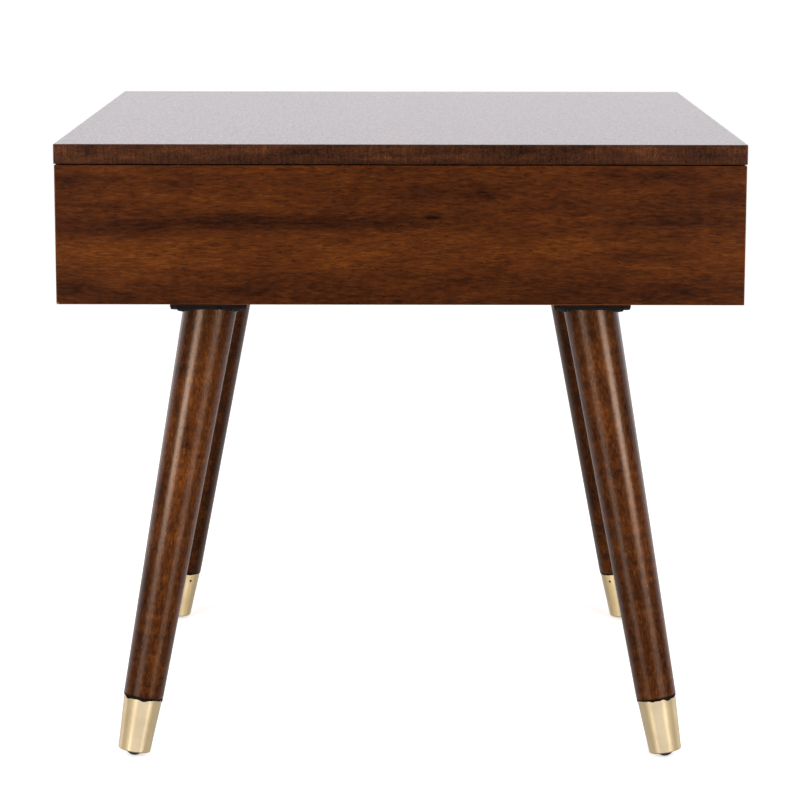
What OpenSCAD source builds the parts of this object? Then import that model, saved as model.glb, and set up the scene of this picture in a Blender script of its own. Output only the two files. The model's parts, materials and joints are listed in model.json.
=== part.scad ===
// Side table with one full-width drawer on four splayed, brass-capped legs.
// Millimetres, +Z up. The origin is on the floor under the middle of the table.
// The drawer front faces -Y, and +X is on the right of someone who faces it.

/* [Table] */
// Width of the top, left to right
table_w = 610; // [580:2:660]
// Depth of the top, front to back
table_d = 686; // [670:2:740]
// Height of the top above the floor
table_h = 577; // [540:1:620]
// Thickness of the top
top_t = 17.5; // [17:0.5:19]
// Thickness of the side, back and front boards
board_t = 18; // [17:0.5:19]
// Radius of the softened board edges
edge_r = 0.8; // [0.5:0.1:1.2]

/* [Case] */
// Height of the case under the top
case_h = 124.5; // [122:0.5:140]
// How far the case and drawer front stay inside the top's left and right edges
side_reveal = 0.5; // [0.4:0.1:2]
// How far the drawer front and back stay inside the top's front and rear edges
end_reveal = 0.4; // [0.3:0.1:2]
// Thickness of the case bottom
case_bottom_t = 12; // [12:1:15]
// How far the case bottom sits above the lower edge of the case
case_bottom_recess = 10; // [8:1:12]
// Space for fingers between the drawer front and the case bottom
finger_space = 28; // [24:1:34]
// Front-to-back width of the two rails under the top
rail_w = 60; // [50:1:70]
// Thickness of the rails
rail_t = 15; // [14:1:16]

/* [Drawer] */
// Gap between the drawer front and the top
front_top_gap = 1; // [0.8:0.1:2]
// Gap between the closed drawer front and the case
front_case_gap = 1; // [0.8:0.1:1.5]
// Length of the drawer box behind its front
drawer_len = 570; // [560:5:600]
// Height of the drawer box
drawer_h = 72; // [68:1:74]
// Height of the drawer box above the case bottom
drawer_lift = 6; // [4:1:7]
// Thickness of the drawer box boards
drawer_t = 12; // [12:0.5:13]
// Thickness of the drawer bottom
drawer_bottom_t = 6; // [5:0.5:6]
// Length of the finger pull routed into the lower back edge of the drawer front
pull_len = 200; // [120:10:300]
// Radius of the finger pull
pull_r = 11; // [9:0.5:11]

/* [Drawer slides] */
// Length of each of the three slide members
slide_len = 550; // [540:5:560]
// Total width of a slide between the case and the drawer box
slide_w = 12.7; // [12.7:0.1:12.8]
// Thickness of the outer and inner members' sheet steel
slide_sheet = 1.2; // [1.1:0.1:1.2]
// Diameter of the bearing balls
ball_d = 3.5; // [3.4:0.05:3.5]
// Number of balls in each row
ball_count = 10; // [6:1:10]
// Length of each ball cage
cage_len = 200; // [200:5:220]

/* [Legs] */
// How far the legs lean outwards to the sides, in degrees
lean_side = 10; // [8:0.5:11]
// How far the legs lean outwards to the front and back, in degrees
lean_end = 5; // [3:0.5:6]
// Distance of a leg's axis from the middle at floor level, sideways
foot_x = 249; // [235:1:255]
// Distance of a leg's axis from the middle at floor level, front to back
foot_y = 268; // [250:1:275]
// Radius of the leg at its top
leg_top_r = 24.7; // [22:0.1:26]
// Radius of the leg where it meets its cap
leg_cap_r = 18.5; // [18.4:0.1:19]
// Width of the square block and plate above each leg
plate_w = 70; // [68:1:74]
// Thickness of the leg plate
plate_t = 2; // [1.8:0.1:2.5]
// How far the leg block and plate reach below the case
plate_drop = 15.2; // [13:0.1:17]

/* [Caps and glides] */
// Length of the brass cap
cap_len = 51.3; // [48:0.1:53]
// Radius of the cap at its rim
cap_top_r = 17.9; // [17.6:0.1:18]
// Radius of the cap at its lower end
cap_low_r = 15; // [14.8:0.1:15.2]
// Wall thickness of the cap
cap_wall = 1.2; // [1:0.1:1.3]
// Gap between the cap and the closed glide's disc
glide_gap = 0.2; // [0.2:0.1:0.5]
// Diameter of the glide's foot
glide_d = 15; // [14:0.5:16]
// Radius of the dome under the glide
dome_r = 9; // [8.5:0.1:10]

/* [Hidden] */
$fn = 64;
FRONT = -1;
REAR = 1;
LEFT = -1;
RIGHT = 1;
ends = [FRONT, REAR];
sides = [LEFT, RIGHT];

// Colours
top_wood = "#5b3320";
case_wood = "#6a3417";
leg_wood = "#43261a";
block_wood = "#2c1c17";
inner_wood = "#b58b5f";
plywood = "#c9a877";
brass = "#d8c294";
black_steel = "#1c1d1f";
zinc = "#b9bcc0";
nylon = "#101113";
soft_dot_grey = "#d9d6cf";
ball_steel = "#d4d6d8";
cage_steel = "#8d9094";

// Clearances
drill_gap = 0.05;
groove_gap = 0.1;
// How far a cutting shape runs past the surface it cuts
overrun = 1;

// Case
case_top_z = table_h - top_t;
case_z = case_top_z - case_h;
case_x = table_w / 2 - side_reveal;
inner_x = case_x - board_t;
front_face_y = -table_d / 2 + end_reveal;
front_back_y = front_face_y + board_t;
side_front_y = front_back_y + front_case_gap;
back_face_y = table_d / 2 - end_reveal;
back_inner_y = back_face_y - board_t;
case_bottom_z = case_z + case_bottom_recess;
case_floor_z = case_bottom_z + case_bottom_t;
case_bottom_front_y = side_front_y + finger_space;
rail_z = case_top_z - rail_t;
rail_setback = 2;
rail_front_y = side_front_y + rail_setback;
rail_rear_y = back_inner_y - rail_w;
edge_mid_x = case_x - board_t / 2;
bumper_r = 5;
bumper_inset = 10;
bumper_gap = 0.1;

// Drawer box
box_x = inner_x - slide_w;
box_inner_x = box_x - drawer_t;
box_z = case_floor_z + drawer_lift;
box_top_z = box_z + drawer_h;
box_back_y = front_back_y + drawer_len;
box_bottom_rise = 7;
box_bottom_z = box_z + box_bottom_rise;
groove_depth = drawer_t / 2;
pull_setback = 2;
pull_drop = 1;

// Drawer slides, as half heights and places across the slide on the right
slide_rise = 1;
slide_z = box_z + drawer_h / 2 + slide_rise;
slide_setback = 5;
slide_front_y = side_front_y + slide_setback;
outer_half = 22.8;
outer_inside = outer_half - slide_sheet;
race_gap = 3.6;
middle_half = outer_inside - race_gap;
middle_inside = middle_half - slide_sheet;
inner_half = middle_inside - race_gap;
outer_ball_z = outer_inside - race_gap / 2;
inner_ball_z = middle_inside - race_gap / 2;
outer_ball_x = inner_x - 5.2;
inner_ball_x = inner_x - 6.9;
outer_lip_x = inner_x - 9;
middle_web_x = inner_x - 2.5;
middle_lip_x = inner_x - 9.9;
inner_lip_x = inner_ball_x + 1.7;
cage_sheet = 0.6;
cage_reach = 2.3;
outer_cage_web_x = inner_x - slide_sheet - 0.4;
inner_cage_web_x = middle_web_x - slide_sheet - 0.3;
// Where the closed drawer leaves the cages, as a share of a slide's length
cage_start = 0.352;
cage_front_y = slide_front_y + slide_len * cage_start;
ball_pitch = cage_len / ball_count;
slide_screw_front = 35;
slide_screw_rear = 40;
slide_screw_ys = [
    slide_front_y + slide_screw_front,
    slide_front_y + slide_len / 2,
    slide_front_y + slide_len - slide_screw_rear
];
lip_t = 1.5;
lip_rise = 0.25;
slide_stop_t = 3;
slide_stop_gap = 0.5;
slide_stop_reach = 7;
slide_stop_half = 8;

// Legs: local +Z runs up a leg's axis from the floor
lean = atan(norm([tan(lean_side), tan(lean_end)]));
lean_azimuth = atan2(tan(lean_end), tan(lean_side));
leg_top_z = case_z - plate_drop;
leg_top_s = leg_top_z / cos(lean);
block_x = foot_x - leg_top_z * tan(lean_side);
block_y = foot_y - leg_top_z * tan(lean_end);
dome_s = dome_r / cos(lean);
glide_top_s = dome_s - 4.2;
cap_low_s = glide_top_s + glide_gap;
cap_top_s = cap_low_s + cap_len;
cap_taper = (cap_top_r - cap_low_r) / cap_len;
cap_floor_t = 1.5;
tenon_gap = 0.15;
tenon_low_gap = 0.3;
tenon_low_s = cap_low_s + cap_floor_t + tenon_low_gap;
leg_taper = (leg_top_r - leg_cap_r) / (leg_top_s - cap_top_s);
cap_corner_r = 1.4;
shoulder_gap = 0.5;
shoulder_r = 1.8;
stud_r = 3;
stud_gap = 0.4;
stud_len = 15.5;
insert_r = 5;
insert_len = 14;
insert_relief = 2;
bolt_r = 4;
bolt_in_leg = 42;
bolt_in_plate = 14;
boss_r = 9;
boss_gap = 1;
boss_room = 4;
pin_r = 1.3;
pin_drop = 8;
pin_turn = 30;
pin_len = 12;
pin_sink = 1.4;
plate_corner_r = 6;
block_edge_r = 0.6;

// Fasteners
dowel_r = 4;
dowel_short = 12;
dowel_long = 22;
dowel_relief = 1;
screw_relief = 1;
small_dowel_r = 3;
small_dowel_short = 8;
small_dowel_long = 20;
small_dowel_relief = 0.5;
top_screw_len = rail_t + 12;
top_screw_r = 2;
small_head_r = 4;
small_head_h = 2.4;
front_screw_len = drawer_t + 13;
front_screw_r = 2;
plate_screw_at = 24;
plate_screw_len = 31;
plate_screw_r = 2.5;
plate_screw_head_r = 5;
plate_screw_head_h = 3.4;
block_screw_at = 27;
block_screw_len = 28;
block_screw_r = 2;
block_screw_head_r = 4;
case_screw_len = 15;
drawer_screw_len = 11;
slide_screw_r = 1.75;
slide_screw_head_r = 3.5;

// Where the dowels and screws are, from the middle of the table or up from a board's lower edge
back_dowel_rises = [20, 62, 104];
bottom_side_dowel_ys = [-260, -60, 140, 290];
bottom_back_dowel_xs = [-150, 0, 150];
rail_dowel_inset = 15;
top_dowel_ys = [-250, 0, 250];
top_screw_xs = [-210, 0, 210];
drawer_dowel_rises = [20, 54];
front_screw_xs = [-190, 190];
front_screw_rises = [24, 56];

// ---------- Helpers ----------

// A rectangle from the origin with round corners
module round_rect(size, r) {
    translate([r, 0]) square([size.x - 2 * r, size.y]);
    translate([0, r]) square([size.x, size.y - 2 * r]);
    for (x = [r, size.x - r], y = [r, size.y - r]) translate([x, y]) circle(r);
}

// A board between two corners, with every edge softened
module board(low, high, r = edge_r) {
    size = high - low;
    translate(low) intersection() {
        linear_extrude(size.z) round_rect([size.x, size.y], r);
        translate([0, size.y, 0]) rotate([90, 0, 0]) linear_extrude(size.y) round_rect([size.x, size.z], r);
        rotate([90, 0, 90]) linear_extrude(size.x) round_rect([size.y, size.z], r);
    }
}

// A plain block between two corners
module block(low, high) translate(low) cube(high - low);

// The same thing on the left or the right, drawn for the right
module on_side(side) {
    if (side == LEFT) mirror([1, 0, 0]) children();
    else children();
}

// The same thing at the front or the rear, drawn for the rear
module on_end(end) {
    if (end == FRONT) mirror([0, 1, 0]) children();
    else children();
}

module toward_x() rotate([0, 90, 0]) children();

module toward_y() rotate([-90, 0, 0]) children();

// A pin along +Z with one part either side of the origin
module pin(below, above, r) translate([0, 0, -below]) cylinder(h = below + above, r = r);

// A profile drawn in X and Z, run along Y
module along_y(from, length)
    translate([0, from + length, 0]) rotate([90, 0, 0]) linear_extrude(length) children();

// A round-topped screw: its head lies below the origin and its shank runs up +Z
module pan_screw(length, r, head_r, head_h) {
    straight = 0.7 * head_h;
    dome = 1.8 * head_r;
    slot_len = 1.1 * head_r;
    slot_w = 0.2 * head_r;
    slot_depth = 0.55 * head_h;
    difference() {
        rotate_extrude() {
            square([r, length]);
            translate([0, -straight]) square([head_r, straight]);
            intersection() {
                translate([0, dome - head_h]) circle(dome);
                translate([0, -head_h]) square([head_r, head_h]);
            }
        }
        for (turn = [0, 90]) rotate([0, 0, turn])
            translate([-slot_len / 2, -slot_w / 2, -head_h - overrun])
                cube([slot_len, slot_w, slot_depth + overrun]);
    }
}

// A countersunk screw: its flat head is level with the origin and its shank runs up +Z
module flat_screw(length, r, head_r) {
    rotate_extrude() polygon([[0, 0], [head_r, 0], [r, head_r - r], [r, length], [0, length]]);
}

// The hole that a countersunk screw fills
module flat_screw_hole(length, r, head_r) {
    wide = head_r + drill_gap;
    narrow = r + drill_gap;
    rotate_extrude() polygon([
        [0, -overrun], [wide, -overrun], [wide, 0],
        [narrow, wide - narrow], [narrow, length + screw_relief], [0, length + screw_relief]
    ]);
}

// ---------- Where the fasteners are ----------

// Each is run once for the dowels and once for their holes
module at_back_dowels()
    for (side = sides, rise = back_dowel_rises)
        translate([side * edge_mid_x, back_inner_y, case_z + rise]) toward_y() children();

module at_bottom_side_dowels()
    for (side = sides, y = bottom_side_dowel_ys)
        translate([side * inner_x, y, case_bottom_z + case_bottom_t / 2]) on_side(side) toward_x() children();

module at_bottom_back_dowels()
    for (x = bottom_back_dowel_xs)
        translate([x, back_inner_y, case_bottom_z + case_bottom_t / 2]) toward_y() children();

module at_rail_dowels()
    for (side = sides, y = [rail_front_y, rail_rear_y], step = [rail_dowel_inset, rail_w - rail_dowel_inset])
        translate([side * inner_x, y + step, rail_z + rail_t / 2]) on_side(side) toward_x() children();

module at_top_dowels()
    for (side = sides, y = top_dowel_ys)
        translate([side * edge_mid_x, y, case_top_z]) children();

module at_top_screws()
    for (x = top_screw_xs, y = [rail_front_y, rail_rear_y])
        translate([x, y + rail_w / 2, rail_z]) children();

module at_drawer_dowels()
    for (side = sides, y = [front_back_y, box_back_y - drawer_t], rise = drawer_dowel_rises)
        translate([side * box_inner_x, y + drawer_t / 2, box_z + rise]) on_side(side) toward_x() children();

module at_front_screws()
    for (x = front_screw_xs, rise = front_screw_rises)
        translate([x, front_back_y + drawer_t, box_z + rise]) rotate([90, 0, 0]) children();

// A leg plate's own frame: its origin is in the plate's lower face
module at_plate(side, end) on_side(side) on_end(end) translate([block_x, block_y, leg_top_z]) children();

module at_plate_screws(side, end)
    at_plate(side, end) for (x = [-plate_screw_at, plate_screw_at], y = [-plate_screw_at, plate_screw_at])
        translate([x, y, 0]) children();

module at_block_screws(side, end)
    at_plate(side, end) for (x = [-block_screw_at, block_screw_at])
        translate([x, 0, case_floor_z - leg_top_z]) rotate([180, 0, 0]) children();

// A leg's own frame: its origin is where the axis meets the floor
module at_leg(side, end)
    on_side(side) on_end(end) translate([foot_x, foot_y, 0])
        rotate([0, 0, lean_azimuth]) rotate([0, -lean, 0]) children();

module at_cap_pin(side, end)
    at_leg(side, end) translate([0, 0, cap_top_s - pin_drop]) rotate([0, 0, 180 + pin_turn]) toward_x() children();

module every_leg() for (side = sides, end = ends) {
    $side = side;
    $end = end;
    children();
}

// ---------- Case ----------

module case_dowel_holes() {
    long = dowel_long + dowel_relief;
    short = dowel_short + dowel_relief;
    at_back_dowels() pin(long, short, dowel_r + drill_gap);
    at_bottom_side_dowels() pin(long, short, dowel_r + drill_gap);
    at_bottom_back_dowels() pin(long, short, dowel_r + drill_gap);
    at_rail_dowels() pin(long, short, dowel_r + drill_gap);
    at_top_dowels() pin(long, short, dowel_r + drill_gap);
}

module case_dowels() color(inner_wood) {
    at_back_dowels() pin(dowel_long, dowel_short, dowel_r);
    at_bottom_side_dowels() pin(dowel_long, dowel_short, dowel_r);
    at_bottom_back_dowels() pin(dowel_long, dowel_short, dowel_r);
    at_rail_dowels() pin(dowel_long, dowel_short, dowel_r);
    at_top_dowels() pin(dowel_long, dowel_short, dowel_r);
}

module top_panel() color(top_wood) difference() {
    board([-table_w / 2, -table_d / 2, case_top_z], [table_w / 2, table_d / 2, table_h]);
    at_top_dowels() pin(overrun, dowel_short + dowel_relief, dowel_r + drill_gap);
    at_top_screws() pin(0, top_screw_len + screw_relief, top_screw_r + drill_gap);
}

module side_panel(side) color(case_wood) difference() {
    on_side(side) board([inner_x, side_front_y, case_z], [case_x, back_inner_y, case_top_z], edge_r);
    case_dowel_holes();
    at_case_slide_screws(side) flat_screw_hole(case_screw_len, slide_screw_r, slide_screw_head_r);
}

module back_panel() color(case_wood) difference() {
    board([-case_x, back_inner_y, case_z], [case_x, back_face_y, case_top_z]);
    case_dowel_holes();
}

module bottom_panel() color(plywood) difference() {
    block([-inner_x, case_bottom_front_y, case_bottom_z], [inner_x, back_inner_y, case_floor_z]);
    case_dowel_holes();
    every_leg() {
        at_plate_screws($side, $end) pin(0, plate_screw_len + screw_relief, plate_screw_r + drill_gap);
        at_block_screws($side, $end) flat_screw_hole(block_screw_len, block_screw_r, block_screw_head_r);
    }
}

module top_rail(from_y) color(inner_wood) difference() {
    block([-inner_x, from_y, rail_z], [inner_x, from_y + rail_w, case_top_z]);
    case_dowel_holes();
    at_top_screws() pin(overrun, top_screw_len, top_screw_r + drill_gap);
}

module top_screws() color(zinc)
    at_top_screws() pan_screw(top_screw_len, top_screw_r, small_head_r, small_head_h);

// Soft dots on the case's front edges, which the closed drawer front meets
module front_bumpers() color(soft_dot_grey)
    for (side = sides, z = [case_z + bumper_inset, case_top_z - bumper_inset])
        translate([side * edge_mid_x, side_front_y, z]) rotate([90, 0, 0])
            cylinder(h = front_case_gap - bumper_gap, r = bumper_r);

// ---------- Leg mountings ----------

module leg_block(side, end) color(block_wood) difference() {
    at_plate(side, end) translate([-plate_w / 2, -plate_w / 2, plate_t])
        board([0, 0, 0], [plate_w, plate_w, case_bottom_z - leg_top_z - plate_t], block_edge_r);
    at_plate(side, end) cylinder(h = plate_t + bolt_in_plate + boss_room, r = boss_r + boss_room);
    at_plate_screws(side, end) pin(0, plate_screw_len, plate_screw_r + drill_gap);
    at_block_screws(side, end) flat_screw_hole(block_screw_len, block_screw_r, block_screw_head_r);
}

module block_screws() color(zinc) every_leg()
    at_block_screws($side, $end) flat_screw(block_screw_len, block_screw_r, block_screw_head_r);

// A pressed plate with a threaded boss that leans with the leg
module leg_plate(side, end) color(black_steel) difference() {
    union() {
        at_plate(side, end) translate([-plate_w / 2, -plate_w / 2, 0])
            linear_extrude(plate_t) round_rect([plate_w, plate_w], plate_corner_r);
        at_leg(side, end) translate([0, 0, leg_top_s]) cylinder(h = bolt_in_plate - boss_gap, r = boss_r);
    }
    at_plate(side, end) translate([-plate_w / 2, -plate_w / 2, -boss_r]) cube([plate_w, plate_w, boss_r]);
    at_leg(side, end) translate([0, 0, leg_top_s - boss_r])
        cylinder(h = boss_r + bolt_in_plate + overrun, r = bolt_r + drill_gap);
    at_plate_screws(side, end) pin(overrun, plate_t + overrun, plate_screw_r + drill_gap);
}

module leg_plate_screws() color(black_steel) every_leg()
    at_plate_screws($side, $end)
        pan_screw(plate_screw_len, plate_screw_r, plate_screw_head_r, plate_screw_head_h);

module hanger_bolts() color(zinc) every_leg()
    at_leg($side, $end) translate([0, 0, leg_top_s]) pin(bolt_in_leg, bolt_in_plate, bolt_r);

// ---------- Legs, caps and glides ----------

function cap_r(s) = cap_low_r + cap_taper * (s - cap_low_s);
function leg_r(s) = leg_cap_r + leg_taper * (s - cap_top_s);

// The turned leg: a tenon inside the cap, a round shoulder above it, and a long taper
module leg_profile() {
    shoulder_s = cap_top_s + shoulder_gap;
    round_s = shoulder_s + shoulder_r;
    above_s = leg_top_s + leg_top_r;
    polygon([
        [0, tenon_low_s],
        [cap_r(tenon_low_s) - cap_wall - tenon_gap, tenon_low_s],
        [cap_r(shoulder_s) - cap_wall - tenon_gap, shoulder_s],
        [leg_cap_r - shoulder_r, shoulder_s],
        [leg_cap_r - shoulder_r, round_s],
        [leg_r(round_s), round_s],
        [leg_r(above_s), above_s],
        [0, above_s]
    ]);
    translate([leg_r(round_s) - shoulder_r, round_s]) circle(shoulder_r);
}

module leg(side, end) color(leg_wood) difference() {
    at_leg(side, end) rotate_extrude() leg_profile();
    at_plate(side, end) translate([-plate_w, -plate_w, 0]) cube([2 * plate_w, 2 * plate_w, plate_w]);
    at_leg(side, end) {
        translate([0, 0, leg_top_s - bolt_in_leg - screw_relief])
            cylinder(h = bolt_in_leg + leg_top_r, r = bolt_r + drill_gap);
        translate([0, 0, tenon_low_s - overrun])
            cylinder(h = overrun + insert_len + insert_relief, r = insert_r + drill_gap);
    }
    at_cap_pin(side, end) cylinder(h = cap_top_r, r = pin_r + drill_gap);
}

// A drawn brass cup with a round lower corner and a hole for the glide's stud
module cap(side, end) color(brass) difference() {
    at_leg(side, end) rotate_extrude() difference() {
        union() {
            polygon([
                [0, cap_low_s],
                [cap_low_r - cap_corner_r, cap_low_s],
                [cap_r(cap_low_s + cap_corner_r), cap_low_s + cap_corner_r],
                [cap_top_r, cap_top_s],
                [0, cap_top_s]
            ]);
            translate([cap_r(cap_low_s + cap_corner_r) - cap_corner_r, cap_low_s + cap_corner_r])
                circle(cap_corner_r);
        }
        polygon([
            [0, cap_low_s + cap_floor_t],
            [cap_r(cap_low_s + cap_floor_t) - cap_wall, cap_low_s + cap_floor_t],
            [cap_top_r - cap_wall, cap_top_s],
            [cap_top_r - cap_wall, cap_top_s + overrun],
            [0, cap_top_s + overrun]
        ]);
        translate([0, cap_low_s - overrun]) square([stud_r + stud_gap, cap_floor_t + 2 * overrun]);
    }
    at_cap_pin(side, end) cylinder(h = cap_top_r + overrun, r = pin_r + drill_gap);
}

// Brads through the caps, with their heads just below the surface
module cap_pins() color(zinc) every_leg()
    at_cap_pin($side, $end) translate([0, 0, cap_top_r - pin_sink - pin_len])
        cylinder(h = pin_len, r = pin_r);

module glide_inserts() color(brass) every_leg()
    at_leg($side, $end) translate([0, 0, tenon_low_s]) difference() {
        cylinder(h = insert_len, r = insert_r);
        translate([0, 0, -overrun]) cylinder(h = insert_len + 2 * overrun, r = stud_r + drill_gap);
    }

// A nylon foot with a domed underside, moulded on a threaded stud
module glide(side, end) color(nylon) at_leg(side, end) rotate_extrude() {
    foot_r = glide_d / 2;
    rim_s = dome_s - sqrt(dome_r * dome_r - foot_r * foot_r);
    translate([0, rim_s]) square([foot_r, glide_top_s - rim_s]);
    intersection() {
        translate([0, dome_s]) circle(dome_r);
        square([foot_r, rim_s]);
    }
    translate([0, rim_s]) square([stud_r, glide_top_s - rim_s + stud_len]);
}

// ---------- Drawer slides ----------

module at_case_slide_screws(side)
    on_side(side) for (y = slide_screw_ys)
        translate([inner_x - slide_sheet, y, slide_z]) toward_x() children();

module at_drawer_slide_screws(side)
    on_side(side) for (y = slide_screw_ys)
        translate([box_x + slide_sheet, y, slide_z]) rotate([0, -90, 0]) children();

// A C-shaped section in X and Z: the web's outer face is at web_x, and the flanges end at lip_x
module c_section(web_x, lip_x, half, sheet) {
    low = min(web_x, lip_x);
    width = abs(web_x - lip_x);
    difference() {
        translate([low, -half]) square([width, 2 * half]);
        translate([web_x > lip_x ? low - overrun : low + sheet, sheet - half])
            square([width - sheet + overrun, 2 * (half - sheet)]);
    }
}

// Turned-in lips that keep the balls in
module lips(lip_x, inside) for (level = [-1, 1])
    translate([lip_x, level * (inside - lip_rise) - lip_t / 2]) square([slide_sheet, lip_t]);

// The outer member is screwed to the case, open towards the drawer
module slide_outer(side) color(zinc) difference() {
    end_y = slide_front_y + slide_len;
    on_side(side) {
        translate([0, 0, slide_z]) along_y(slide_front_y, slide_len + slide_stop_t) {
            c_section(inner_x, outer_lip_x, outer_half, slide_sheet);
            lips(outer_lip_x, outer_inside);
        }
        block([inner_x - slide_stop_reach, end_y + slide_stop_gap, slide_z - slide_stop_half],
              [inner_x - slide_sheet / 2, end_y + slide_stop_t, slide_z + slide_stop_half]);
    }
    at_case_slide_screws(side) flat_screw_hole(case_screw_len, slide_screw_r, slide_screw_head_r);
}

// The middle member runs between the two others
module slide_middle(side) color(zinc) on_side(side)
    translate([0, 0, slide_z]) along_y(slide_front_y, slide_len) {
        c_section(middle_web_x, middle_lip_x, middle_half, slide_sheet);
        lips(middle_lip_x, middle_inside);
    }

// The inner member is screwed to the drawer box, open towards the case
module slide_inner(side) color(zinc) difference() {
    on_side(side) translate([0, 0, slide_z]) along_y(slide_front_y, slide_len)
        c_section(box_x, inner_lip_x, inner_half, slide_sheet);
    at_drawer_slide_screws(side) flat_screw_hole(drawer_screw_len, slide_screw_r, slide_screw_head_r);
}

module at_balls(side, x, z)
    on_side(side) for (level = [-1, 1], i = [0:ball_count - 1])
        translate([x, cage_front_y + (i + 0.5) * ball_pitch, slide_z + level * z]) children();

module balls(side, x, z) color(ball_steel) at_balls(side, x, z) sphere(d = ball_d);

// A thin C-shaped strip with a hole for each ball
module cage(side, x, z, web_x) color(cage_steel) difference() {
    on_side(side) translate([0, 0, slide_z]) along_y(cage_front_y, cage_len)
        c_section(web_x, x - cage_reach, z + cage_sheet / 2, cage_sheet);
    at_balls(side, x, z) pin(ball_d / 2, ball_d / 2, ball_d / 2 + drill_gap);
}

module case_slide_screws() color(zinc) for (side = sides)
    at_case_slide_screws(side) flat_screw(case_screw_len, slide_screw_r, slide_screw_head_r);

module drawer_slide_screws() color(zinc) for (side = sides)
    at_drawer_slide_screws(side) flat_screw(drawer_screw_len, slide_screw_r, slide_screw_head_r);

// ---------- Drawer ----------

module front_screw_holes()
    at_front_screws() pin(overrun, front_screw_len + screw_relief, front_screw_r + drill_gap);

module drawer_dowel_holes() {
    long = small_dowel_long + small_dowel_relief;
    short = small_dowel_short + small_dowel_relief;
    at_drawer_dowels() pin(long, short, small_dowel_r + drill_gap);
}

// The groove that holds the drawer bottom
module bottom_groove() {
    reach = groove_depth;
    block([-box_inner_x - reach, front_back_y + drawer_t - reach, box_bottom_z],
          [box_inner_x + reach, box_back_y - drawer_t + reach, box_bottom_z + drawer_bottom_t]);
}

module drawer_front() color(case_wood) difference() {
    board([-case_x, front_face_y, case_z], [case_x, front_back_y, case_top_z - front_top_gap]);
    translate([-pull_len / 2, front_back_y + pull_setback, case_z - pull_drop]) toward_x()
        cylinder(h = pull_len, r = pull_r);
    front_screw_holes();
}

module drawer_box_front() color(inner_wood) difference() {
    block([-box_inner_x, front_back_y, box_z], [box_inner_x, front_back_y + drawer_t, box_top_z]);
    bottom_groove();
    drawer_dowel_holes();
    front_screw_holes();
}

module drawer_box_back() color(inner_wood) difference() {
    block([-box_inner_x, box_back_y - drawer_t, box_z], [box_inner_x, box_back_y, box_top_z]);
    bottom_groove();
    drawer_dowel_holes();
}

module drawer_side(side) color(inner_wood) difference() {
    on_side(side) block([box_inner_x, front_back_y, box_z], [box_x, box_back_y, box_top_z]);
    bottom_groove();
    drawer_dowel_holes();
    at_drawer_slide_screws(side) flat_screw_hole(drawer_screw_len, slide_screw_r, slide_screw_head_r);
}

module drawer_bottom() color(plywood) {
    reach = groove_depth - 2 * groove_gap;
    block([-box_inner_x - reach, front_back_y + drawer_t - reach, box_bottom_z + groove_gap],
          [box_inner_x + reach, box_back_y - drawer_t + reach, box_bottom_z + drawer_bottom_t - groove_gap]);
}

module drawer_dowels() color(plywood)
    at_drawer_dowels() pin(small_dowel_long, small_dowel_short, small_dowel_r);

module drawer_front_screws() color(zinc)
    at_front_screws() pan_screw(front_screw_len, front_screw_r, small_head_r, small_head_h);

// ---------- Nodes ----------

top_panel();
side_panel(LEFT);  // side_panel_left
side_panel(RIGHT);  // side_panel_right
back_panel();
bottom_panel();
top_rail(rail_front_y);  // top_rail_front
top_rail(rail_rear_y);  // top_rail_rear
top_screws();
case_dowels();
front_bumpers();
leg_block(LEFT, FRONT);  // leg_block_front_left
leg_block(RIGHT, FRONT);  // leg_block_front_right
leg_block(LEFT, REAR);  // leg_block_rear_left
leg_block(RIGHT, REAR);  // leg_block_rear_right
block_screws();
leg_plate(LEFT, FRONT);  // leg_plate_front_left
leg_plate(RIGHT, FRONT);  // leg_plate_front_right
leg_plate(LEFT, REAR);  // leg_plate_rear_left
leg_plate(RIGHT, REAR);  // leg_plate_rear_right
leg_plate_screws();
hanger_bolts();
leg(LEFT, FRONT);  // leg_front_left
leg(RIGHT, FRONT);  // leg_front_right
leg(LEFT, REAR);  // leg_rear_left
leg(RIGHT, REAR);  // leg_rear_right
cap(LEFT, FRONT);  // cap_front_left
cap(RIGHT, FRONT);  // cap_front_right
cap(LEFT, REAR);  // cap_rear_left
cap(RIGHT, REAR);  // cap_rear_right
cap_pins();
glide_inserts();
glide(LEFT, FRONT);  // glide_front_left
glide(RIGHT, FRONT);  // glide_front_right
glide(LEFT, REAR);  // glide_rear_left
glide(RIGHT, REAR);  // glide_rear_right
slide_outer(LEFT);  // slide_outer_left
slide_outer(RIGHT);  // slide_outer_right
case_slide_screws();
slide_middle(LEFT);  // slide_middle_left
slide_middle(RIGHT);  // slide_middle_right
cage(LEFT, outer_ball_x, outer_ball_z, outer_cage_web_x);  // cage_outer_left
cage(RIGHT, outer_ball_x, outer_ball_z, outer_cage_web_x);  // cage_outer_right
cage(LEFT, inner_ball_x, inner_ball_z, inner_cage_web_x);  // cage_inner_left
cage(RIGHT, inner_ball_x, inner_ball_z, inner_cage_web_x);  // cage_inner_right
balls(LEFT, outer_ball_x, outer_ball_z);  // balls_outer_left
balls(RIGHT, outer_ball_x, outer_ball_z);  // balls_outer_right
balls(LEFT, inner_ball_x, inner_ball_z);  // balls_inner_left
balls(RIGHT, inner_ball_x, inner_ball_z);  // balls_inner_right
slide_inner(LEFT);  // slide_inner_left
slide_inner(RIGHT);  // slide_inner_right
drawer_slide_screws();
drawer_front();
drawer_box_front();
drawer_side(LEFT);  // drawer_side_left
drawer_side(RIGHT);  // drawer_side_right
drawer_box_back();
drawer_bottom();
drawer_dowels();
drawer_front_screws();
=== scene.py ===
"""Looks of a walnut-stained side table with one drawer on splayed, brass-capped legs.

Everything is in metres in the table's own frame: X to the right, Y to the back, Z up, floor at Z = 0.
"""

import json
import math
import random

import bmesh
import bpy
from mathutils import Matrix, Vector


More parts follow.
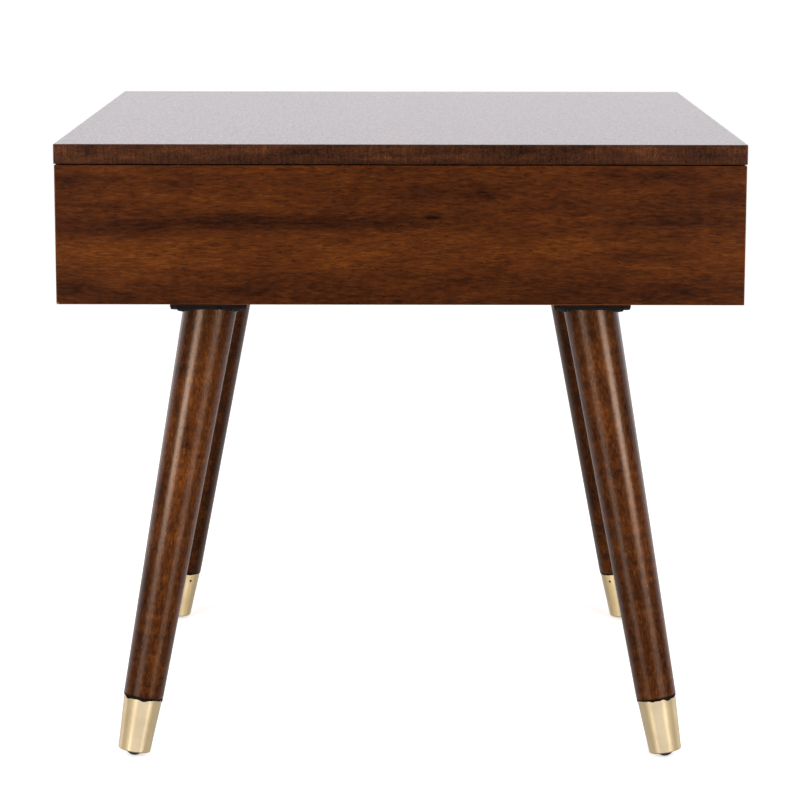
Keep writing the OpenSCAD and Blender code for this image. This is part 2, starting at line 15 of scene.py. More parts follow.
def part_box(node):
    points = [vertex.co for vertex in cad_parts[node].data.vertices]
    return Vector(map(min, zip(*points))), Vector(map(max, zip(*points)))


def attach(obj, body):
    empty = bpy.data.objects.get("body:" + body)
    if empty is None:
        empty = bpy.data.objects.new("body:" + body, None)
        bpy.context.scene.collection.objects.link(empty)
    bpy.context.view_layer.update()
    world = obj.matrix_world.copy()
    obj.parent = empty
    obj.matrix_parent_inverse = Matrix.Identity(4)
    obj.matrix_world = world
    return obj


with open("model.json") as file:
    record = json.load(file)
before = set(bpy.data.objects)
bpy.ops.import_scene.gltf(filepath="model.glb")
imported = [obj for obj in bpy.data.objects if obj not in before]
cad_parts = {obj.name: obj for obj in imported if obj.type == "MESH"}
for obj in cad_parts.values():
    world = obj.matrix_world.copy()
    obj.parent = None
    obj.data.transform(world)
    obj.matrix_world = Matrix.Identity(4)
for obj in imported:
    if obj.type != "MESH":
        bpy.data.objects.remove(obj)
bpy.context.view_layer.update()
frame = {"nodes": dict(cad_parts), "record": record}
NODES = frame["nodes"]
SLOT_OF = {part["node"]: part["material_slot"] for part in frame["record"]["subparts"]}

# Where a leg's axis meets the floor, and how far it leans to the side and to the end.
FOOT_X, FOOT_Y = 0.249, 0.268
LEAN_SIDE, LEAN_END = math.radians(10), math.radians(5)
# Along a leg's axis from the floor: the top of its cap and the wood's shoulder above it.
CAP_TOP, SHOULDER = 0.05647, 0.05697
CAP_RADIUS = 0.0179
SIDES = {"left": -1, "right": 1}
ENDS = {"front": -1, "rear": 1}

# Which way the grain runs on each wooden piece; the rest run along X.
GRAIN_ALONG_Y = (
    "top_panel", "side_panel_left", "side_panel_right",
    "drawer_side_left", "drawer_side_right", "drawer_bottom",
)


def srgb(red, green, blue):
    """A colour written in 0 to 255 display values, as the linear colour that shaders take."""
    def linear(value):
        value /= 255
        return value / 12.92 if value <= 0.04045 else ((value + 0.055) / 1.055) ** 2.4
    return (linear(red), linear(green), linear(blue), 1)


def grey(level):
    return (level, level, level, 1)


def leg_axis(side, end):
    """Unit vector up a leg's axis."""
    return Vector((-side * math.tan(LEAN_SIDE), -end * math.tan(LEAN_END), 1)).normalized()


def leg_foot(side, end):
    return Vector((side * FOOT_X, end * FOOT_Y, 0))


def random_shift(seed):
    """Where in the endless noise a piece's own pattern starts."""
    draw = random.Random(seed)
    return [draw.uniform(-9, 9) for _ in range(3)]


# ---------------------------------------------------------------- shader building blocks


class Shader:
    """One material's node tree, with a method for each kind of node that the materials use."""

    def __init__(self, name):
        self.material = bpy.data.materials.new(name)
        self.material.use_nodes = True
        self.tree = self.material.node_tree
        self.surface = self.tree.nodes["Principled BSDF"]

    def wire(self, value, socket):
        if isinstance(value, bpy.types.NodeSocket):
            self.tree.links.new(value, socket)
        else:
            socket.default_value = value

    def set(self, **values):
        """Sets or links sockets of the surface shader, such as base_color or coat_weight."""
        for name, value in values.items():
            label = {"ior": "IOR", "specular": "Specular IOR Level"}.get(name)
            label = label or name.replace("_", " ").title()
            self.wire(value, self.surface.inputs[label])

    def node(self, kind, **settings):
        made = self.tree.nodes.new(kind)
        for name, value in settings.items():
            setattr(made, name, value)
        return made

    def place(self):
        """Place on the piece, in metres, moving with it."""
        return self.node("ShaderNodeTexCoord").outputs["Object"]

    def facing(self):
        """The surface's own outward direction, in the piece's frame."""
        return self.node("ShaderNodeTexCoord").outputs["Normal"]

    def axis(self, vector, letter):
        split = self.node("ShaderNodeSeparateXYZ")
        self.wire(vector, split.inputs[0])
        return split.outputs[letter]

    def into(self, vector, matrix):
        """The place seen from a frame given by a matrix."""
        made = self.node("ShaderNodeMapping", vector_type="TEXTURE")
        self.wire(vector, made.inputs["Vector"])
        made.inputs["Location"].default_value = matrix.to_translation()
        made.inputs["Rotation"].default_value = matrix.to_euler()
        return made.outputs[0]

    def stretch(self, vector, scale, shift=(0, 0, 0)):
        made = self.node("ShaderNodeMapping")
        self.wire(vector, made.inputs["Vector"])
        made.inputs["Scale"].default_value = scale
        made.inputs["Location"].default_value = shift
        return made.outputs[0]

    def noise(self, vector, detail=2.0, roughness=0.5, distortion=0.0, scale=1.0):
        made = self.node("ShaderNodeTexNoise")
        self.wire(vector, made.inputs["Vector"])
        made.inputs["Scale"].default_value = scale
        made.inputs["Detail"].default_value = detail
        made.inputs["Roughness"].default_value = roughness
        made.inputs["Distortion"].default_value = distortion
        return made.outputs["Fac"]

    def math(self, operation, a, b=0.0, clamp=False):
        made = self.node("ShaderNodeMath", operation=operation, use_clamp=clamp)
        self.wire(a, made.inputs[0])
        self.wire(b, made.inputs[1])
        return made.outputs[0]

    def range(self, value, low, high, to_low=0.0, to_high=1.0, smooth=False):
        """value from low..high to to_low..to_high, held at the ends."""
        made = self.node("ShaderNodeMapRange")
        made.interpolation_type = "SMOOTHSTEP" if smooth else "LINEAR"
        for number, part in enumerate((value, low, high, to_low, to_high)):
            self.wire(part, made.inputs[number])
        return made.outputs[0]

    def blend(self, *weighted):
        """The sum of (value, weight) pairs."""
        total = None
        for value, weight in weighted:
            part = self.math("MULTIPLY", value, weight)
            total = part if total is None else self.math("ADD", total, part)
        return total

    def ramp(self, value, stops, smooth=False):
        """Colours, or plain levels of grey, at the stops' places."""
        made = self.node("ShaderNodeValToRGB")
        made.color_ramp.interpolation = "EASE" if smooth else "LINEAR"
        elements = made.color_ramp.elements
        while len(elements) < len(stops):
            elements.new(0.5)
        for element, (position, colour) in zip(elements, stops):
            element.position = position
            element.color = colour if hasattr(colour, "__len__") else grey(colour)
        self.wire(value, made.inputs[0])
        return made.outputs[0]

    def mix(self, share, a, b):
        made = self.node("ShaderNodeMix", data_type="RGBA")
        self.wire(share, made.inputs["Factor"])
        self.wire(a, made.inputs["A"])
        self.wire(b, made.inputs["B"])
        return made.outputs["Result"]

    def bump(self, height, depth):
        made = self.node("ShaderNodeBump")
        made.inputs["Strength"].default_value = 1
        made.inputs["Distance"].default_value = depth
        self.wire(height, made.inputs["Height"])
        self.wire(made.outputs[0], self.surface.inputs["Normal"])

    def near(self, place, point, reach):
        """1 at a point, falling to 0 at reach=(x, y, z) away from it."""
        moved = self.stretch(place, [1 / r for r in reach], [-p / r for p, r in zip(point, reach)])
        length = self.node("ShaderNodeVectorMath", operation="LENGTH")
        self.wire(moved, length.inputs[0])
        return self.range(length.outputs["Value"], 0, 1, 1, 0, smooth=True)

    def edges(self, place, box, width):
        """1 along a board's arrises, falling to 0 at width from them."""
        gaps = []
        for letter, low, high in zip("XYZ", *box):
            along = self.axis(place, letter)
            above, below = self.math("SUBTRACT", along, low), self.math("SUBTRACT", high, along)
            gaps.append(self.math("MINIMUM", above, below))
        least = self.math("MINIMUM", self.math("MINIMUM", gaps[0], gaps[1]), gaps[2])
        most = self.math("MAXIMUM", self.math("MAXIMUM", gaps[0], gaps[1]), gaps[2])
        both = self.math("ADD", self.math("ADD", gaps[0], gaps[1]), gaps[2])
        middle = self.math("SUBTRACT", self.math("SUBTRACT", both, least), most)
        return self.range(middle, 0, width, 1, 0, smooth=True)


# ---------------------------------------------------------------- wood


def grain_frame(name):
    """The frame in which a piece's grain runs along X."""
    if name.startswith("leg_") and not name.startswith(("leg_block", "leg_plate")):
        _, end, side = name.split("_")
        side, end = SIDES[side], ENDS[end]
        turn = leg_axis(side, end).to_track_quat("X", "Z").to_matrix().to_4x4()
        return Matrix.Translation(leg_foot(side, end)) @ turn
    return Matrix.Rotation(math.pi / 2, 4, "Z") if name in GRAIN_ALONG_Y else Matrix.Identity(4)


class Grain:
    """The parts of a wood's pattern, each from 0 to 1, in a frame where the grain runs along X."""

    # How far the fibres wander sideways.
    SWAY = 0.012

    def __init__(self, shader, name, seed):
        self.shift = random_shift(seed)
        self.shader = shader
        self.place = shader.place()
        local = shader.into(self.place, grain_frame(name))
        swing = shader.noise(shader.stretch(local, (3.2, 11, 11), self.shift), detail=1)
        lean = shader.math("MULTIPLY", shader.math("SUBTRACT", swing, 0.5), 2 * self.SWAY)
        join = shader.node("ShaderNodeCombineXYZ")
        shader.wire(lean, join.inputs["Y"])
        shader.wire(lean, join.inputs["Z"])
        add = shader.node("ShaderNodeVectorMath", operation="ADD")
        shader.wire(local, add.inputs[0])
        shader.wire(join.outputs[0], add.inputs[1])
        self.local = add.outputs[0]

    def layer(self, along, across, detail, roughness=0.5, distortion=0.0):
        """Noise with that many waves a metre along the grain and across it."""
        place = self.shader.stretch(self.local, (along, across, across), self.shift)
        return self.shader.noise(place, detail, roughness, distortion)


def stained_wood(
    name, tones, seed, roughness, bands=0.9, band_share=0.5, ripple_share=0.08, short=1.0, relief=0.00006,
    layout=None, finish=None,
):
    """Stained wood: broad bands, a cloudy figure, cross ripples, fine fibres and short open pores.

    tones go from the darkest to the palest. bands is how many broad bands there are to a metre of grain,
    and short makes the figure's marks shorter along it. layout adds to the tone, and finish changes the
    colour.
    """
    shader = Shader(name)
    grain = Grain(shader, name, seed)
    band = grain.layer(bands, 24, 2, 0.45)
    cloud = grain.layer(14 * short, 60, 4, 0.62, 0.4)
    ripple = grain.layer(170, 30, 2, 0.5)
    fleck = grain.layer(75 * short, 430, 3, 0.7)
    fibre = grain.layer(110 * short, 950, 2, 0.75)
    pore = shader.range(grain.layer(130 * short, 640, 2, 0.6), 0.6, 0.66)
    # Keeps the average tone the same whatever the shares of the bands and ripples.
    steady = 0.5 * (0.58 - band_share - ripple_share)
    tone = shader.blend((band, band_share), (cloud, 0.5), (ripple, ripple_share), (fleck, 0.62), (fibre, 0.5))
    tone = shader.math("ADD", tone, steady)
    if layout is not None:
        tone = shader.math("ADD", tone, layout(shader, grain))
    tone = shader.range(tone, 0.8, 1.43)
    colour = shader.ramp(tone, list(zip((0, 0.35, 0.68, 1), tones)))
    colour = shader.mix(shader.math("MULTIPLY", pore, 0.6), colour, tones[0])
    if finish is not None:
        colour = finish(shader, grain, colour)
    shader.set(base_color=colour, roughness=shader.range(fleck, 0.3, 0.7, roughness - 0.02, roughness + 0.03))
    shader.bump(shader.blend((fibre, 0.5), (pore, -0.6)), relief)
    return shader


# Stain tones from the pores to the palest figure, and the pale colour of the arrises: bare wood rubbed
# through, and a painted edge highlight.
WALNUT = (srgb(32, 13, 5), srgb(60, 27, 9), srgb(82, 40, 12), srgb(108, 57, 18))
TOP_WALNUT = (srgb(30, 14, 7), srgb(52, 27, 14), srgb(70, 38, 20), srgb(92, 52, 28))
LEG_WALNUT = (srgb(24, 9, 3), srgb(60, 27, 8), srgb(96, 49, 14), srgb(136, 76, 26))
WORN_AND_HIGHLIT = srgb(128, 74, 40)


def worn_and_highlit_edges(name, amount=0.6, upper_amount=None):
    """A finish whose arrises are pale in places, perhaps less along the upper ones: partly rubbed wear,
    partly a painted edge highlight.
    """
    pale_edge_width, upper_from, upper_full = 0.0012, 0.006, 0.002
    upper = amount if upper_amount is None else upper_amount

    def finish(shader, grain, colour):
        low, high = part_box(name)
        rim = shader.edges(grain.place, (low, high), pale_edge_width)
        patchy = shader.range(grain.layer(14, 30, 3), 0.35, 0.6)
        rise = shader.axis(grain.place, "Z")
        share = shader.range(rise, high.z - upper_from, high.z - upper_full, amount, upper)
        return shader.mix(shader.math("MULTIPLY", rim, shader.math("MULTIPLY", patchy, share)), colour, WORN_AND_HIGHLIT)

    return finish


def case_board(name, seed):
    shader = stained_wood(name, WALNUT, seed, 0.31, finish=worn_and_highlit_edges(name))
    shader.set(specular=0.1, ior=1.2)
    return shader


# Patches of the front's board that are smokier (negative) or paler than the rest: x, z, half-width,
# half-height and how much.
FRONT_PATCHES = (
    (-0.17, 0.508, 0.28, 0.015, -0.16), (-0.26, 0.48, 0.26, 0.03, 0.1), (-0.06, 0.485, 0.12, 0.012, 0.06),
    (-0.294, 0.446, 0.04, 0.012, -0.16), (-0.13, 0.448, 0.05, 0.012, -0.14), (0.2, 0.447, 0.12, 0.012, -0.1),
    (0.228, 0.509, 0.09, 0.014, -0.12), (0.05, 0.535, 0.08, 0.012, -0.08), (-0.13, 0.53, 0.12, 0.018, 0.1),
    (0.14, 0.513, 0.12, 0.01, 0.1), (0.28, 0.535, 0.08, 0.012, -0.1), (0.02, 0.508, 0.1, 0.014, -0.05),
    (0.215, 0.478, 0.08, 0.011, -0.13), (-0.235, 0.458, 0.06, 0.009, 0.12), (0.215, 0.552, 0.09, 0.009, -0.1),
    (-0.28, 0.552, 0.05, 0.009, -0.08), (0.2, 0.497, 0.1, 0.008, -0.08),
)


def drawer_front_bands(shader, grain):
    """The front's own bands: paler below the middle, darker at the foot, and smoky patches."""
    low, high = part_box("drawer_front")
    height = shader.range(shader.axis(grain.local, "Z"), low.z, high.z)
    stops = ((0, 0.38), (0.12, 0.42), (0.28, 0.6), (0.46, 0.58), (0.62, 0.42), (0.8, 0.5), (1, 0.5))
    level = shader.ramp(height, stops, smooth=True)
    tone = shader.math("MULTIPLY", shader.math("SUBTRACT", level, 0.5), 0.6)
    for x, z, half_width, half_height, amount in FRONT_PATCHES:
        patch = shader.near(grain.local, (x, low.y, z), (half_width, 0.1, half_height))
        tone = shader.math("ADD", tone, shader.math("MULTIPLY", patch, amount))
    return tone


def drawer_front_marks(shader, grain, colour):
    """A small eye-shaped knot, a dark spot, and the yellow wood showing at a knocked corner."""
    corner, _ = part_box("drawer_front")
    knot = shader.near(grain.place, (0.028, corner.y, 0.5125), (0.011, 0.05, 0.0026))
    spot = shader.near(grain.place, (-0.094, corner.y, 0.474), (0.0035, 0.05, 0.0016))
    chip = shader.near(grain.place, corner, (0.004, 0.004, 0.003))
    # Pale lower arris: partly rubbed wear, partly a painted edge highlight.
    colour = worn_and_highlit_edges("drawer_front", 0.9, 0)(shader, grain, colour)
    colour = shader.mix(shader.math("MULTIPLY", knot, 1.6, clamp=True), colour, srgb(24, 10, 6))
    colour = shader.mix(shader.math("MULTIPLY", spot, 0.9), colour, srgb(34, 15, 8))
    return shader.mix(shader.math("MULTIPLY", chip, 0.9), colour, srgb(190, 140, 78))


def drawer_front(name, seed):
    shader = stained_wood(
        name, WALNUT, seed, 0.31, band_share=0.2, layout=drawer_front_bands, finish=drawer_front_marks
    )
    shader.set(specular=0.12)
    return shader


def end_grain(shader, grain, colour):
    """Upright saw marks and speckle where the top's boards are cut across their grain."""
    facing = shader.math("ABSOLUTE", shader.axis(shader.facing(), "Y"))
    cut = shader.range(facing, 0.6, 0.8)
    low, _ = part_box("top_panel")
    saw = shader.noise(shader.stretch(grain.place, (640, 1, 60)), 3, 0.7)
    speckle = shader.noise(shader.stretch(grain.place, (560, 1, 560)), 3, 0.65)
    patch = shader.noise(shader.stretch(grain.place, (16, 1, 70)), 3, 0.65)
    aside = shader.math("ABSOLUTE", shader.axis(grain.place, "X"))
    ends = shader.range(aside, 0.05, 0.28, -0.03, 0.06)
    tone = shader.math("ADD", shader.blend((saw, 0.35), (speckle, 0.5), (patch, 0.7)), ends)
    sawn = shader.ramp(shader.range(tone, 0.61, 0.99), list(zip((0, 0.35, 0.7, 1), TOP_WALNUT)))
    # Darker in patches along the lowest few millimetres of the edge, just above the seam.
    dark_foot_height = 0.005
    foot = shader.range(shader.axis(grain.place, "Z"), low.z, low.z + dark_foot_height, 1, 0)
    dark_foot_share = shader.math("MULTIPLY", foot, shader.range(patch, 0.42, 0.56))
    sawn = shader.mix(shader.math("MULTIPLY", dark_foot_share, 0.75), sawn, TOP_WALNUT[0])
    return worn_and_highlit_edges("top_panel", 0.2)(shader, grain, shader.mix(cut, colour, sawn))


def top_panel(name, seed):
    shader = stained_wood(name, TOP_WALNUT, seed, 0.22, finish=end_grain)
    shader.set(specular=0.3)
    return shader


def leg(name, seed):
    shader = stained_wood(
        name, LEG_WALNUT, seed, 0.25, bands=2.5, ripple_share=0.3, short=2.0, relief=0.00005
    )
    shader.set(specular=0.5, specular_tint=(1, 0.74, 0.56, 1))
    return shader


def stained_block(name, seed):
    tones = (srgb(14, 8, 7), srgb(26, 16, 13), srgb(42, 26, 22), srgb(58, 36, 30))
    shader = stained_wood(name, tones, seed, 0.5)
    shader.set(specular=0.15)
    return shader


def light_wood(name, seed):
    tones = (srgb(164, 120, 78), srgb(190, 148, 102), srgb(207, 168, 122), srgb(221, 188, 146))
    return stained_wood(name, tones, seed, 0.45)


def plywood(name, seed):
    """Sanded face veneer, with the crossed plies showing as stripes on the edges."""
    tones = (srgb(160, 120, 80), srgb(190, 152, 108), srgb(205, 170, 128), srgb(220, 190, 150))
    ply = 0.0015

    def layers(shader, grain, colour):
        upright = shader.math("ABSOLUTE", shader.axis(shader.facing(), "Z"))
        edge = shader.range(upright, 0.3, 0.6, 1, 0)
        stripe = shader.math("PINGPONG", shader.axis(grain.place, "Z"), ply)
        dark = shader.range(stripe, ply * 0.45, ply * 0.55)
        return shader.mix(shader.math("MULTIPLY", edge, dark), colour, srgb(140, 98, 60))

    return stained_wood(name, tones, seed, 0.55, finish=layers)


# ---------------------------------------------------------------- metal, plastic


def metal(name, colour, roughness, seed, streaks=(260, 260, 20), depth=0.000015):
    """Metal with fine streaks and slightly uneven gloss."""
    shift = random_shift(seed)
    shader = Shader(name)
    place = shader.place()
    streak = shader.noise(shader.stretch(place, streaks, shift), 3, 0.6)
    cloud = shader.noise(shader.stretch(place, (38, 38, 38), shift), 3, 0.55)
    dull = [0.86 * part for part in colour[:3]] + [1]
    shader.set(base_color=shader.mix(shader.range(cloud, 0.35, 0.65), colour, dull), metallic=1.0)
    gloss = shader.blend((streak, 0.5), (cloud, 0.5))
    shader.set(roughness=shader.range(gloss, 0.3, 0.7, roughness - 0.05, roughness + 0.06))
    shader.bump(streak, depth)
    return shader


def brass(name, seed):
    return metal(name, srgb(232, 210, 170), 0.36, seed, streaks=(900, 900, 60), depth=0.000008)


def zinc(name, seed):
    return metal(name, srgb(196, 199, 203), 0.3, seed)


def cage_steel(name, seed):
    return metal(name, srgb(150, 152, 155), 0.38, seed)


def ball_steel(name, seed):
    return metal(name, srgb(226, 228, 230), 0.12, seed, depth=0.000004)


def plastic(name, colour, roughness, seed, speckle=1400):
    """Moulded plastic or a powdered coating: a fine even texture and slightly uneven gloss."""
    shift = random_shift(seed)
    shader = Shader(name)
    place = shader.place()
    fine = shader.noise(shader.stretch(place, (speckle,) * 3, shift), 2, 0.6)
    cloud = shader.noise(shader.stretch(place, (60,) * 3, shift), 3, 0.55)
    pale = [min(1, 1.5 * part + 0.004) for part in colour[:3]] + [1]
    shader.set(
        base_color=shader.mix(shader.range(cloud, 0.4, 0.7), colour, pale),
        roughness=shader.range(cloud, 0.3, 0.7, roughness - 0.05, roughness + 0.08),
    )
    shader.bump(fine, 0.00002)
    return shader


def black_steel(name, seed):
    shader = plastic(name, srgb(17, 18, 18), 0.42, seed)
    shader.set(specular=0.2)
    return shader


def black_nylon(name, seed):
    return plastic(name, srgb(30, 29, 30), 0.5, seed, speckle=900)


def soft_dot(name, seed):
    return plastic(name, srgb(226, 224, 218), 0.4, seed)


# The function that makes each material slot's finish.
MAKERS = {
    "walnut_top": top_panel, "walnut_case": case_board, "walnut_leg": leg,
    "stained_block": stained_block, "light_wood": light_wood, "plywood": plywood,
    "brass": brass, "black_steel": black_steel, "zinc_steel": zinc, "cage_steel": cage_steel,
    "ball_steel": ball_steel, "black_nylon": black_nylon, "soft_dot": soft_dot,
}
# Pieces whose finish is their own and not their slot's.
OWN_MAKERS = {"drawer_front": drawer_front, "cap_pins": black_steel}


def paint_frame():
    """Gives every CAD node its own material, made for its slot."""
    for seed, name in enumerate(sorted(NODES)):
        maker = OWN_MAKERS.get(name) or MAKERS[SLOT_OF[name]]
        paint(NODES[name], maker(name, seed))


def paint(piece, shader):
    piece.data.materials.clear()
    piece.data.materials.append(shader.material)


# ---------------------------------------------------------------- pieces made here


# End, side, random seed, and how far the dark ring of glue and painted shade runs down over the cap where it
# is thickest.
GLUE_AND_SHADE_RINGS = (
    ("front", "left", 1629, 0.0022), ("front", "right", 3134, 0.0022),
    ("rear", "left", 42, 0.0006), ("rear", "right", 43, 0.0008),
)
# How far the dark ring stands proud of the cap and goes inside its skin, and how little hangs at the least.
GLUE_AND_SHADE_PROUD, GLUE_AND_SHADE_INSIDE, GLUE_AND_SHADE_LEAST = 0.00035, 0.0004, 0.0003
GLUE_AND_SHADE_STEPS = 180


def glue_and_shade_lengths(seed, amount):
    """How far the dark ring hangs below the cap's top at each step round the leg."""
    draw = random.Random(seed)
    broad = [(count, draw.uniform(0, math.tau)) for count in (1, 2, 3, 5)]
    ragged = [(draw.randint(5, 15), draw.uniform(0, math.tau)) for _ in range(4)]

    def waves(parts, angle):
        return sum(math.sin(count * angle + start) for count, start in parts) / len(parts)

    lengths = []
    for step in range(GLUE_AND_SHADE_STEPS):
        angle = math.tau * step / GLUE_AND_SHADE_STEPS
        hang = max(0, 0.25 + waves(broad, angle) + 0.8 * waves(ragged, angle))
        lengths.append(GLUE_AND_SHADE_LEAST + amount * hang + draw.uniform(0, 0.0002))
    return lengths


def glue_and_shade_outline(length):
    """The dark ring's section as (radius, height along the leg), up from its lower inner edge."""
    low, outer = CAP_TOP - length, CAP_RADIUS + GLUE_AND_SHADE_PROUD
    return (
        (CAP_RADIUS - GLUE_AND_SHADE_INSIDE, low - 0.0001),
        (outer - 0.00012, low),
        (outer, low + 0.00025),
        (outer + 0.0002, SHOULDER - 0.0001),
        (outer - 0.0001, SHOULDER + 0.0006),
        (CAP_RADIUS - 0.0012, SHOULDER + 0.0006),
    )


def glue_and_shade_ring(side_name, end_name, seed, amount):
    """The ragged dark ring between a leg's shoulder and its cap: squeezed-out glue, and painted shade of the
    recess there.
    """
    shape = bmesh.new()
    rings = []
    for step, length in enumerate(glue_and_shade_lengths(seed, amount)):
        angle = math.tau * step / GLUE_AND_SHADE_STEPS
        cosine, sine = math.cos(angle), math.sin(angle)
        rings.append([shape.verts.new((r * cosine, r * sine, height)) for r, height in glue_and_shade_outline(length)])
    for ring, after in zip(rings, rings[1:] + rings[:1]):
        for number in range(len(ring)):
            following = (number + 1) % len(ring)
            shape.faces.new((ring[number], after[number], after[following], ring[following]))
    bmesh.ops.recalc_face_normals(shape, faces=shape.faces)
    name = f"glue_line_{end_name}_{side_name}"
    mesh = bpy.data.meshes.new(name)
    shape.to_mesh(mesh)
    shape.free()
    side, end = SIDES[side_name], ENDS[end_name]
    turn = leg_axis(side, end).to_track_quat("Z", "Y").to_matrix().to_4x4()
    mesh.transform(Matrix.Translation(leg_foot(side, end)) @ turn)
    mesh.polygons.foreach_set("use_smooth", [True] * len(mesh.polygons))
    piece = bpy.data.objects.new(name, mesh)
    bpy.context.scene.collection.objects.link(piece)
    # Near-black and barely glossy, for the glue and for the painted shade in the joint's recess.
    glue_and_shade_finish = plastic(name, srgb(8, 5, 4), 0.6, seed, speckle=700)
    glue_and_shade_finish.set(specular=0.1)
    paint(piece, glue_and_shade_finish)
    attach(piece, "table_frame")


# ---------------------------------------------------------------- the studio


def floor():
    """A plain pale floor that the table's gloss and the lights don't see."""
    half_width = 60
    shape = bmesh.new()
    bmesh.ops.create_grid(shape, x_segments=8, y_segments=8, size=half_width)
    mesh = bpy.data.meshes.new("floor")
    shape.to_mesh(mesh)
    shape.free()
    made = bpy.data.objects.new("floor", mesh)
    bpy.context.scene.collection.objects.link(made)
    made.visible_glossy = False
    made.visible_diffuse = False
    made.visible_shadow = False
    shader = Shader("floor")
    cloud = shader.noise(shader.place(), 2, 0.5, scale=0.4)
    shader.set(
        base_color=shader.ramp(cloud, ((0, 0.86), (1, 0.9))),
        roughness=0.7, emission_color=grey(1), emission_strength=0.5,
    )
    made.data.materials.append(shader.material)


# Pieces with lights of their own: the brass, and the boards and legs that the rear lights reach.
BRASS = tuple(name for name in NODES if SLOT_OF[name] == "brass")
REAR_CAPS = ("cap_rear_left", "cap_rear_right")
REAR_BOARDS = ("back_panel", "side_panel_left", "side_panel_right")
REAR_LEGS = ("leg_rear_left", "leg_rear_right")
# Light colours for the brass.
AMBER, WARM, COOL = (1, 0.84, 0.5), (1, 0.95, 0.84), (0.97, 0.98, 1.08)
# Degrees to each side, from the camera and from straight behind.
KEY_AZIMUTH, REAR_AZIMUTH = 38, 40
# The heights between which the brass sees its panels, and how wide those are.
BRASS_LOW, BRASS_HIGH, BRASS_WIDTH = -2.0, 1.4, 1.66


def link_light(made, names, state):
    """With state INCLUDE the light reaches only the named pieces, and with EXCLUDE all but those."""
    group = bpy.data.collections.new(f"{made.name}_receivers")
    made.light_linking.receiver_collection = group
    for name in names:
        group.objects.link(NODES[name])
    for member in group.collection_objects:
        member.light_linking.link_state = state


def panel_light(name, place, width, height, radiance, glossy):
    """A rectangular light that the camera can't see, facing down until it is turned."""
    data = bpy.data.lights.new(name, "AREA")
    data.shape = "RECTANGLE"
    data.size, data.size_y = width, height
    data.energy = radiance * math.pi * width * height
    made = bpy.data.objects.new(name, data)
    made.location = place
    made.visible_camera = False
    made.visible_glossy = glossy
    bpy.context.scene.collection.objects.link(made)
    return made


def softbox(
    name, azimuth, low, high, radiance, distance=2.0, width=1.1,
    names=BRASS, state="EXCLUDE", tint=(1, 1, 1), glossy=True,
):
    """An upright softbox that faces the table, azimuth degrees to the right of the camera.

    low and high are the heights of its edges. Without glossy it lights the wood but leaves no highlight.
    """
    turn = math.radians(azimuth)
    away = Vector((math.sin(turn), -math.cos(turn), 0))
    place = away * distance + Vector((0, 0, (low + high) / 2))
    made = panel_light(name, place, width, high - low, radiance, glossy)
    made.rotation_euler = away.to_track_quat("Z", "Y").to_euler()
    made.data.color = tint
    link_light(made, names, state)


def wood_lights(side_name, side):
    """One side's lights for the wood: a bright narrow box gives each leg its highlight.

    The floor stops no light, so the low box lights the undersides from below it.
    """
    key, rear = side * KEY_AZIMUTH, 180 + side * REAR_AZIMUTH
    softbox(f"high_softbox_{side_name}", key, 0.5, 1.9, radiance=4.2, glossy=False)
    softbox(f"softbox_{side_name}", key, 0.3, 0.5, width=0.7, radiance=20.0)
    softbox(f"low_fill_{side_name}", key, -0.5, -0.02, width=0.9, radiance=2.4)
    for name, low, high, radiance, reached in (
        ("rear_fill", 0.1, 1.8, 3.4, REAR_BOARDS), ("rear_leg_fill", 0.0, 0.9, 3.0, REAR_LEGS),
    ):
        softbox(
            f"{name}_{side_name}", rear, low, high, distance=2.4, width=1.2, radiance=radiance,
            names=reached, state="INCLUDE", glossy=False,
        )


def brass_lights(side_name, side):
    """One side's lights for the brass: a narrow strip between broad panels, brighter above the floor."""
    softbox(
        f"brass_strip_{side_name}", side * KEY_AZIMUTH, BRASS_LOW, BRASS_HIGH, distance=1.9, width=0.3,
        radiance=1.9, names=BRASS, state="INCLUDE", tint=COOL,
    )
    upper, lower = ("upper", 0.0, BRASS_HIGH), ("lower", BRASS_LOW, 0.0)
    for turn, (name, low, high), radiance in (
        (45, upper, 0.78), (45, lower, 0.58), (90, upper, 0.52), (90, lower, 0.4),
    ):
        softbox(
            f"brass_{name}_{side_name}_{turn}", side * turn, low, high, width=BRASS_WIDTH,
            radiance=radiance, names=BRASS, state="INCLUDE", tint=WARM,
        )
    softbox(
        f"rear_cap_fill_{side_name}", side * 65, BRASS_LOW, 0.4, width=2.8, radiance=0.5,
        names=REAR_CAPS, state="INCLUDE", tint=AMBER,
    )


def middle_lights():
    """The lights on the table's own centre line: one in front for the brass, and one overhead."""
    softbox(
        "brass_front", 0, BRASS_LOW, BRASS_HIGH, width=BRASS_WIDTH, radiance=0.88,
        names=BRASS, state="INCLUDE", tint=COOL,
    )
    panel_light("overhead", (0, -0.2, 2.4), width=1.8, height=1.6, radiance=1.6, glossy=False)


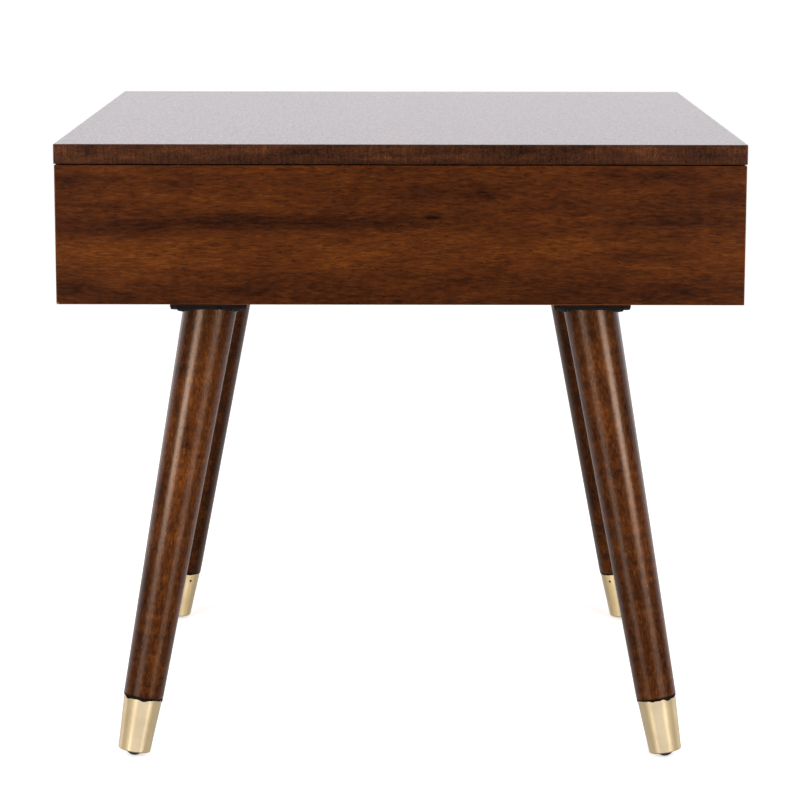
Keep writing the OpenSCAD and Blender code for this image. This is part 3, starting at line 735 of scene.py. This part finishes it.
def surroundings():
    """White to the camera; for lighting, bright behind the table and dim behind the camera."""
    world = bpy.data.worlds.new("studio")
    world.use_nodes = True
    bpy.context.scene.world = world
    tree = world.node_tree
    tree.nodes.clear()

    def node(kind, **settings):
        made = tree.nodes.new(kind)
        for name, value in settings.items():
            setattr(made, name, value)
        return made

    split = node("ShaderNodeSeparateXYZ")
    tree.links.new(node("ShaderNodeTexCoord").outputs["Generated"], split.inputs[0])

    def span(value, low, high):
        made = node("ShaderNodeMapRange", interpolation_type="SMOOTHSTEP")
        tree.links.new(value, made.inputs[0])
        made.inputs[1].default_value, made.inputs[2].default_value = low, high
        return made.outputs[0]

    def mix(share, a, b):
        made = node("ShaderNodeMix", data_type="RGBA")
        tree.links.new(share, made.inputs["Factor"])
        for value, socket in ((a, made.inputs["A"]), (b, made.inputs["B"])):
            if isinstance(value, bpy.types.NodeSocket):
                tree.links.new(value, socket)
            else:
                socket.default_value = value
        return made.outputs["Result"]

    rise = split.outputs["Z"]
    behind_camera = mix(span(rise, 0.1, 0.6), grey(0.09), grey(0.5))
    behind_low = mix(span(rise, -0.25, 0.02), (0.55, 0.55, 0.56, 1), (1.34, 1.31, 1.37, 1))
    behind_table = mix(span(rise, 0.2, 0.55), behind_low, grey(0.55))
    lit = mix(span(split.outputs["Y"], 0.0, 0.6), behind_camera, behind_table)
    light = node("ShaderNodeBackground")
    tree.links.new(lit, light.inputs["Color"])
    seen = node("ShaderNodeBackground")
    seen.inputs["Color"].default_value = grey(1)
    join = node("ShaderNodeMixShader")
    tree.links.new(node("ShaderNodeLightPath").outputs["Is Camera Ray"], join.inputs[0])
    tree.links.new(light.outputs[0], join.inputs[1])
    tree.links.new(seen.outputs[0], join.inputs[2])
    tree.links.new(join.outputs[0], node("ShaderNodeOutputWorld").inputs["Surface"])


def camera():
    """A long lens nearly three metres in front, a little above the table top."""
    sensor, focal = 36, 133.87
    place = (0.0014, -2.9513, 0.7996)
    yaw, pitch, roll = -0.0006, 0.1708, 0.0014
    forward = Vector((math.sin(yaw) * math.cos(pitch), math.cos(yaw) * math.cos(pitch), -math.sin(pitch)))
    right = Vector((math.cos(yaw), -math.sin(yaw), 0))
    up = right.cross(forward)
    turn = Matrix((right, up, -forward)).transposed() @ Matrix.Rotation(roll, 3, "Z")
    data = bpy.data.cameras.new("camera")
    data.sensor_width, data.lens = sensor, focal
    data.clip_start, data.clip_end = 0.1, 200
    made = bpy.data.objects.new("camera", data)
    made.matrix_world = Matrix.Translation(place) @ turn.to_4x4()
    bpy.context.scene.collection.objects.link(made)
    bpy.context.scene.camera = made


camera()
floor()
surroundings()
for side_name, side in SIDES.items():
    wood_lights(side_name, side)
    brass_lights(side_name, side)
middle_lights()
bpy.context.scene.view_settings.view_transform = "Standard"

paint_frame()
for end_name, side_name, seed, amount in GLUE_AND_SHADE_RINGS:
    glue_and_shade_ring(side_name, end_name, seed, amount)
